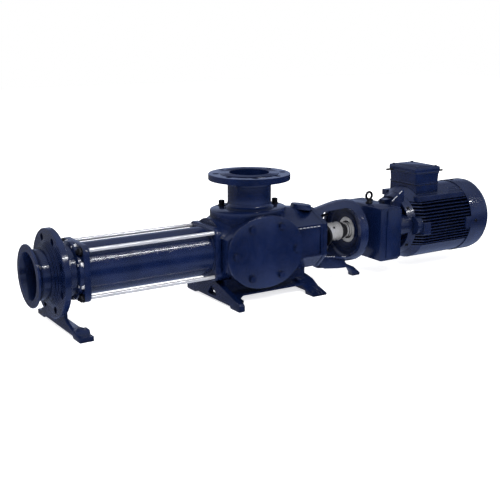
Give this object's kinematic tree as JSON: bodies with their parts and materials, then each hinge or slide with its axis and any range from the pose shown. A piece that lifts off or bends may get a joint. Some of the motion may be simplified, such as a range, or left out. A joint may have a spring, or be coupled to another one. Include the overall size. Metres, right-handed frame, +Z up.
{
  "type": "progressive cavity pump",
  "caption": "Horizontal progressive cavity pump with a finned gearmotor: flanged discharge, tie-rod stator, suction branch on top, windowed lantern and cast feet.",
  "frame": {"origin": "on the floor, under the middle of the pump's whole length and width", "axes": "+X along the pump axis from the discharge flange to the motor's fan cowl, +Z up, +Y to the far side"},
  "size_m": [1.4362, 0.28, 0.3363],
  "materials": {
    "discharge_stub_finish": "gloss",
    "loose_flange_finish": "gloss",
    "discharge_casing_finish": "gloss",
    "stator_clamp_plate_finish": "gloss",
    "stator_tube_finish": "gloss",
    "stator_lining_finish": "matte",
    "tie_rod_1_finish": "bright",
    "tie_rod_2_finish": "bright",
    "tie_rod_3_finish": "bright",
    "tie_rod_4_finish": "bright",
    "suction_spool_finish": "gloss",
    "body_end_plate_finish": "gloss",
    "pump_body_finish": "gloss",
    "inspection_cover_finish": "gloss",
    "body_rim_finish": "gloss",
    "top_pad_finish": "gloss",
    "discharge_foot_finish": "gloss",
    "main_foot_finish": "gloss",
    "lantern_finish": "gloss",
    "lantern_foot_finish": "gloss",
    "gland_follower_finish": "gloss",
    "drive_shaft_finish": "bright",
    "gearbox_output_flange_finish": "gloss",
    "output_disc_finish": "bright",
    "gearbox_housing_finish": "gloss",
    "eye_bolt_finish": "satin",
    "oil_plug_finish": "satin",
    "motor_adapter_finish": "gloss",
    "motor_end_shield_finish": "gloss",
    "motor_frame_finish": "gloss",
    "terminal_box_neck_finish": "gloss",
    "terminal_box_finish": "gloss",
    "terminal_box_lid_finish": "gloss",
    "fan_cowl_finish": "gloss"
  },
  "bodies": {
    "pump": {"discharge_stub": "discharge_stub_finish", "loose_flange": "loose_flange_finish", "discharge_casing": "discharge_casing_finish", "stator_clamp_plate": "stator_clamp_plate_finish", "stator_tube": "stator_tube_finish", "stator_lining": "stator_lining_finish", "tie_rod_1": "tie_rod_1_finish", "tie_rod_2": "tie_rod_2_finish", "tie_rod_3": "tie_rod_3_finish", "tie_rod_4": "tie_rod_4_finish", "suction_spool": "suction_spool_finish", "body_end_plate": "body_end_plate_finish", "pump_body": "pump_body_finish", "inspection_cover": "inspection_cover_finish", "body_rim": "body_rim_finish", "top_pad": "top_pad_finish", "discharge_foot": "discharge_foot_finish", "main_foot": "main_foot_finish", "lantern": "lantern_finish", "lantern_foot": "lantern_foot_finish", "gland_follower": "gland_follower_finish", "gearbox_output_flange": "gearbox_output_flange_finish", "output_disc": "output_disc_finish", "gearbox_housing": "gearbox_housing_finish", "eye_bolt": "eye_bolt_finish", "oil_plug": "oil_plug_finish", "motor_adapter": "motor_adapter_finish", "motor_end_shield": "motor_end_shield_finish", "motor_frame": "motor_frame_finish", "terminal_box_neck": "terminal_box_neck_finish", "terminal_box": "terminal_box_finish", "terminal_box_lid": "terminal_box_lid_finish", "fan_cowl": "fan_cowl_finish"},
    "shaft": {"drive_shaft": "drive_shaft_finish"}
  },
  "joints": [
    {"name": "shaft_turn", "type": "hinge", "parent": "pump", "child": "shaft", "pos_m": [0.1831, 0, 0.14], "axis": [1, 0, 0], "continuous": true}
  ]
}
